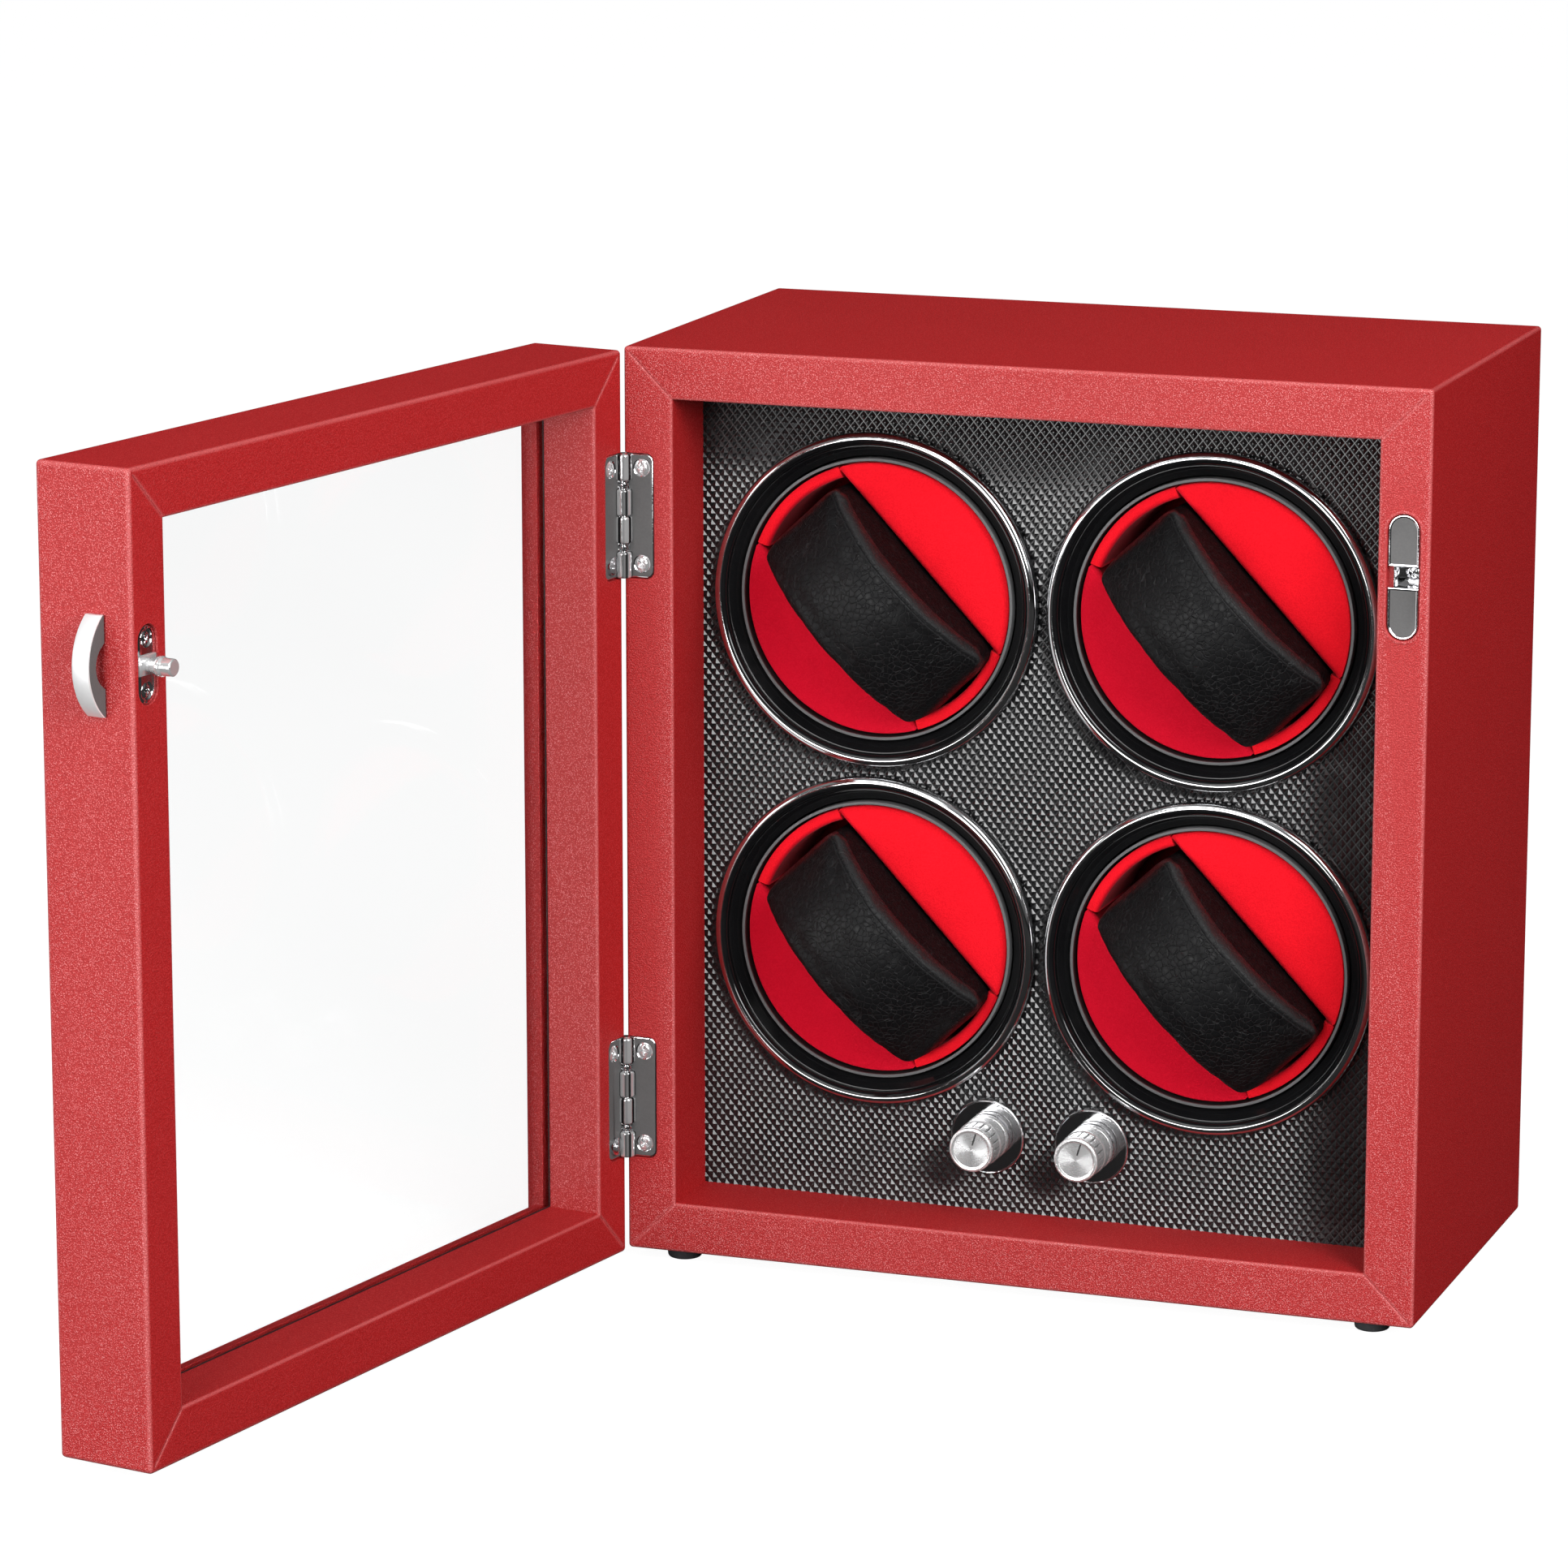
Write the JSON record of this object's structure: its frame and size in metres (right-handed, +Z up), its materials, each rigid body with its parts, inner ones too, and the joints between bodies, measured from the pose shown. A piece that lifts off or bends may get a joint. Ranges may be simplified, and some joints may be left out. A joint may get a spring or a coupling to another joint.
{
  "type": "watch winder box",
  "caption": "Leather covered watch winder box with a glazed hinged door, belt driven turntables with padded watch pillows, and speed knobs.",
  "frame": {"origin": "middle of the footprint of the whole part with its door open as at rest, at the underside of the feet", "axes": "+Z up, +Y from the cabinet's front to its back, which is also the way the open door stands, +X to the right along the cabinet's front"},
  "size_m": [0.3258, 0.3886, 0.286],
  "materials": {
    "red_leather": "fine pebbled red leather cover over board",
    "diamond_panel": "black cover embossed with small diamond pyramids",
    "bezel": "gloss black with a chromed half round rim",
    "cup": "satin grey",
    "red_velvet": "short red velvet",
    "black_leather": "black pebbled leather over padding",
    "glass": "clear",
    "chrome": "polished",
    "spun_aluminium": "spun",
    "rubber": "matt",
    "dial": "matt black",
    "steel": "plain",
    "nylon": "natural",
    "circuit_board": "solder mask",
    "chassis": "moulded"
  },
  "bodies": {
    "cabinet": {"cabinet_shell": "red_leather", "back_panel": "red_leather", "front_panel": "diamond_panel", "chassis_plate": "chassis", "bezel_upper_left": "bezel", "spindle_bush_upper_left": "nylon", "bezel_upper_right": "bezel", "spindle_bush_upper_right": "nylon", "bezel_lower_left": "bezel", "spindle_bush_lower_left": "nylon", "bezel_lower_right": "bezel", "spindle_bush_lower_right": "nylon", "drive_motor_left": "steel", "drive_belt_left": "rubber", "dial_plate_left": "dial", "speed_control_left": "steel", "foot_front_left": "rubber", "foot_rear_left": "rubber", "drive_motor_right": "steel", "drive_belt_right": "rubber", "dial_plate_right": "dial", "speed_control_right": "steel", "foot_front_right": "rubber", "foot_rear_right": "rubber", "circuit_board": "circuit_board", "power_inlet": "dial", "catch_keep": "chrome", "catch_screw": "chrome", "hinge_leaf_cabinet_upper": "chrome", "hinge_pin_upper": "chrome", "hinge_leaf_cabinet_lower": "chrome", "hinge_pin_lower": "chrome"},
    "door": {"door_frame": "red_leather", "door_glass": "glass", "door_handle": "chrome", "latch_stud": "chrome", "latch_screw_upper": "chrome", "latch_screw_lower": "chrome", "hinge_leaf_door_upper": "chrome", "hinge_leaf_door_lower": "chrome"},
    "turntable_upper_left": {"turning_cup_upper_left": "cup", "velvet_liner_upper_left": "red_velvet", "drive_pulley_upper_left": "nylon"},
    "pillow_upper_left": {"watch_pillow_upper_left": "black_leather"},
    "turntable_upper_right": {"turning_cup_upper_right": "cup", "velvet_liner_upper_right": "red_velvet", "drive_pulley_upper_right": "nylon"},
    "pillow_upper_right": {"watch_pillow_upper_right": "black_leather"},
    "turntable_lower_left": {"turning_cup_lower_left": "cup", "velvet_liner_lower_left": "red_velvet", "drive_pulley_lower_left": "nylon"},
    "pillow_lower_left": {"watch_pillow_lower_left": "black_leather"},
    "turntable_lower_right": {"turning_cup_lower_right": "cup", "velvet_liner_lower_right": "red_velvet", "drive_pulley_lower_right": "nylon"},
    "pillow_lower_right": {"watch_pillow_lower_right": "black_leather"},
    "motor_shaft_left": {"motor_pulley_left": "steel"},
    "knob_left": {"control_knob_left": "spun_aluminium"},
    "motor_shaft_right": {"motor_pulley_right": "steel"},
    "knob_right": {"control_knob_right": "spun_aluminium"}
  },
  "joints": [
    {"name": "door_hinge", "type": "hinge", "parent": "cabinet", "child": "door", "pos_m": [-0.08705, 0.05805, 0.145], "axis": [0, 0, 1], "range_deg": [-10, 100.4]},
    {"name": "turntable_upper_left_spin", "type": "hinge", "parent": "cabinet", "child": "turntable_upper_left", "pos_m": [-0.01505, 0.08555, 0.2085], "axis": [0, 1, 0], "continuous": true},
    {"name": "turntable_upper_right_spin", "type": "hinge", "parent": "cabinet", "child": "turntable_upper_right", "pos_m": [0.09095, 0.08555, 0.2085], "axis": [0, 1, 0], "continuous": true},
    {"name": "turntable_lower_left_spin", "type": "hinge", "parent": "cabinet", "child": "turntable_lower_left", "pos_m": [-0.01505, 0.08555, 0.1023], "axis": [0, 1, 0], "continuous": true},
    {"name": "turntable_lower_right_spin", "type": "hinge", "parent": "cabinet", "child": "turntable_lower_right", "pos_m": [0.09095, 0.08555, 0.1023], "axis": [0, 1, 0], "continuous": true},
    {"name": "pillow_upper_left_pull", "type": "slide", "parent": "turntable_upper_left", "child": "pillow_upper_left", "axis": [0, -1, 0], "range_m": [0, 0.016]},
    {"name": "pillow_upper_right_pull", "type": "slide", "parent": "turntable_upper_right", "child": "pillow_upper_right", "axis": [0, -1, 0], "range_m": [0, 0.016]},
    {"name": "pillow_lower_left_pull", "type": "slide", "parent": "turntable_lower_left", "child": "pillow_lower_left", "axis": [0, -1, 0], "range_m": [0, 0.016]},
    {"name": "pillow_lower_right_pull", "type": "slide", "parent": "turntable_lower_right", "child": "pillow_lower_right", "axis": [0, -1, 0], "range_m": [0, 0.016]},
    {"name": "motor_left_spin", "type": "hinge", "parent": "cabinet", "child": "motor_shaft_left", "pos_m": [0.02245, 0.08555, 0.1554], "axis": [0, 1, 0], "continuous": true},
    {"name": "motor_right_spin", "type": "hinge", "parent": "cabinet", "child": "motor_shaft_right", "pos_m": [0.05345, 0.08555, 0.1554], "axis": [0, 1, 0], "continuous": true},
    {"name": "knob_left_turn", "type": "hinge", "parent": "cabinet", "child": "knob_left", "pos_m": [0.02125, 0.08555, 0.043], "axis": [0, 1, 0], "range_deg": [-170, 130]},
    {"name": "knob_right_turn", "type": "hinge", "parent": "cabinet", "child": "knob_right", "pos_m": [0.05465, 0.08555, 0.043], "axis": [0, 1, 0], "range_deg": [-170, 130]}
  ],
  "couplings": [
    {"joint": "turntable_lower_left_spin", "follows": "turntable_upper_left_spin", "ratio": 1},
    {"joint": "motor_left_spin", "follows": "turntable_upper_left_spin", "ratio": 4.1},
    {"joint": "turntable_lower_right_spin", "follows": "turntable_upper_right_spin", "ratio": 1},
    {"joint": "motor_right_spin", "follows": "turntable_upper_right_spin", "ratio": 4.1}
  ]
}
